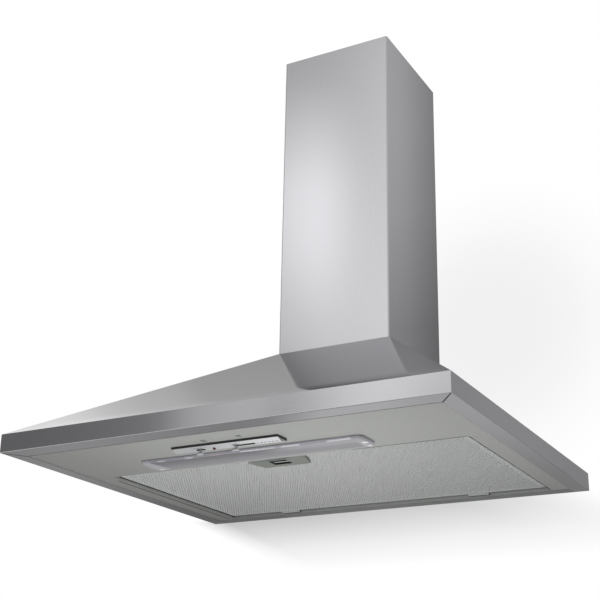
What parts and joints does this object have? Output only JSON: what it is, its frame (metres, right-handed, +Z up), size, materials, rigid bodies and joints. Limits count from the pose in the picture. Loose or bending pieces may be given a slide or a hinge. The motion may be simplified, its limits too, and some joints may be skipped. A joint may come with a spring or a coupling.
{
  "type": "range hood",
  "caption": "Wall-hung pyramid range hood in brushed steel with a chimney cover, a mesh grease filter, a lamp lens, slide controls and a blower inside.",
  "frame": {"origin": "on the wall face, level with the underside of the canopy lip, half way along the hood", "axes": "+X to the right seen from the front, +Y into the wall, +Z up"},
  "size_m": [0.6, 0.5, 0.6911],
  "materials": {
    "canopy_front": "satin brushed",
    "canopy_left": "satin brushed",
    "canopy_right": "satin brushed",
    "back_panel": "zinc coated",
    "flue_cover": "satin brushed",
    "flue_extension": "satin brushed",
    "flue_bracket": "zinc coated",
    "underside_panel": "smooth grey paint",
    "filter_frame": "mill",
    "filter_face_mesh": "mill",
    "filter_core": "mill",
    "filter_back_mesh": "mill",
    "latch_plate": "fine grain",
    "latch_button": "fine grain",
    "latch_spring": "satin brushed",
    "lamp_lens": "frosted",
    "lamp_box": "zinc coated",
    "lampholders": "fine grain",
    "lamp_left": "pearl",
    "lamp_right": "pearl",
    "control_housing": "fine grain",
    "control_fascia": "semi-gloss",
    "light_slider": "semi-gloss",
    "speed_slider": "semi-gloss",
    "indicator_lens": "gloss",
    "switch_unit": "fine grain",
    "blower_plate": "zinc coated",
    "casing_left": "fine grain",
    "casing_right": "fine grain",
    "casing_screws": "satin brushed",
    "inlet_guard_left": "fine grain",
    "inlet_guard_right": "fine grain",
    "motor_body": "mill",
    "motor_bearings": "satin brushed",
    "motor_foot": "fine grain",
    "motor_shaft": "satin brushed",
    "fan_wheel_left": "fine grain",
    "fan_wheel_right": "fine grain",
    "capacitor": "semi-gloss",
    "outlet_collar": "fine grain",
    "flap_rod": "satin brushed",
    "flap_left": "fine grain",
    "flap_right": "fine grain",
    "terminal_box": "semi-gloss",
    "terminal_cover": "semi-gloss",
    "cable_gland": "fine grain"
  },
  "bodies": {
    "hood_body": {"canopy_front": "canopy_front", "canopy_left": "canopy_left", "canopy_right": "canopy_right", "back_panel": "back_panel", "flue_cover": "flue_cover", "underside_panel": "underside_panel", "lamp_box": "lamp_box", "lampholders": "lampholders", "lamp_left": "lamp_left", "lamp_right": "lamp_right", "control_housing": "control_housing", "control_fascia": "control_fascia", "indicator_lens": "indicator_lens", "switch_unit": "switch_unit", "blower_plate": "blower_plate", "casing_left": "casing_left", "casing_right": "casing_right", "casing_screws": "casing_screws", "inlet_guard_left": "inlet_guard_left", "inlet_guard_right": "inlet_guard_right", "motor_body": "motor_body", "motor_bearings": "motor_bearings", "motor_foot": "motor_foot", "capacitor": "capacitor", "outlet_collar": "outlet_collar", "flap_rod": "flap_rod", "terminal_box": "terminal_box", "terminal_cover": "terminal_cover", "cable_gland": "cable_gland"},
    "extension": {"flue_extension": "flue_extension", "flue_bracket": "flue_bracket"},
    "filter": {"filter_frame": "filter_frame", "filter_face_mesh": "filter_face_mesh", "filter_core": "filter_core", "filter_back_mesh": "filter_back_mesh", "latch_plate": "latch_plate", "latch_spring": "latch_spring"},
    "latch": {"latch_button": "latch_button"},
    "lens": {"lamp_lens": "lamp_lens"},
    "light_switch": {"light_slider": "light_slider"},
    "speed_switch": {"speed_slider": "speed_slider"},
    "fan": {"motor_shaft": "motor_shaft", "fan_wheel_left": "fan_wheel_left", "fan_wheel_right": "fan_wheel_right"},
    "left_flap": {"flap_left": "flap_left"},
    "right_flap": {"flap_right": "flap_right"}
  },
  "joints": [
    {"name": "chimney_slide", "type": "slide", "parent": "hood_body", "child": "extension", "axis": [0, 0, 1], "range_m": [0, 0.3]},
    {"name": "filter_swing", "type": "hinge", "parent": "hood_body", "child": "filter", "pos_m": [0, -0.021, 0.0023], "axis": [1, 0, 0], "range_deg": [0, 75]},
    {"name": "latch_slide", "type": "slide", "parent": "filter", "child": "latch", "axis": [0, 1, 0], "range_m": [0, 0.0045], "stiffness_N_per_m": 300, "springref_m": -0.004, "deforming": ["latch_spring"]},
    {"name": "lens_release", "type": "slide", "parent": "hood_body", "child": "lens", "axis": [0, 0, -1], "range_m": [0, 0.05]},
    {"name": "light_slide", "type": "slide", "parent": "hood_body", "child": "light_switch", "axis": [1, 0, 0], "range_m": [-0.004, 0.004]},
    {"name": "speed_slide", "type": "slide", "parent": "hood_body", "child": "speed_switch", "axis": [1, 0, 0], "range_m": [0, 0.0235]},
    {"name": "fan_spin", "type": "hinge", "parent": "hood_body", "child": "fan", "pos_m": [0, -0.091, 0.112], "axis": [1, 0, 0], "continuous": true},
    {"name": "left_flap_swing", "type": "hinge", "parent": "hood_body", "child": "left_flap", "pos_m": [0, -0.091, 0.2145], "axis": [0, 1, 0], "range_deg": [0, 70]},
    {"name": "right_flap_swing", "type": "hinge", "parent": "hood_body", "child": "right_flap", "pos_m": [0, -0.091, 0.2145], "axis": [0, -1, 0], "range_deg": [0, 70]}
  ]
}
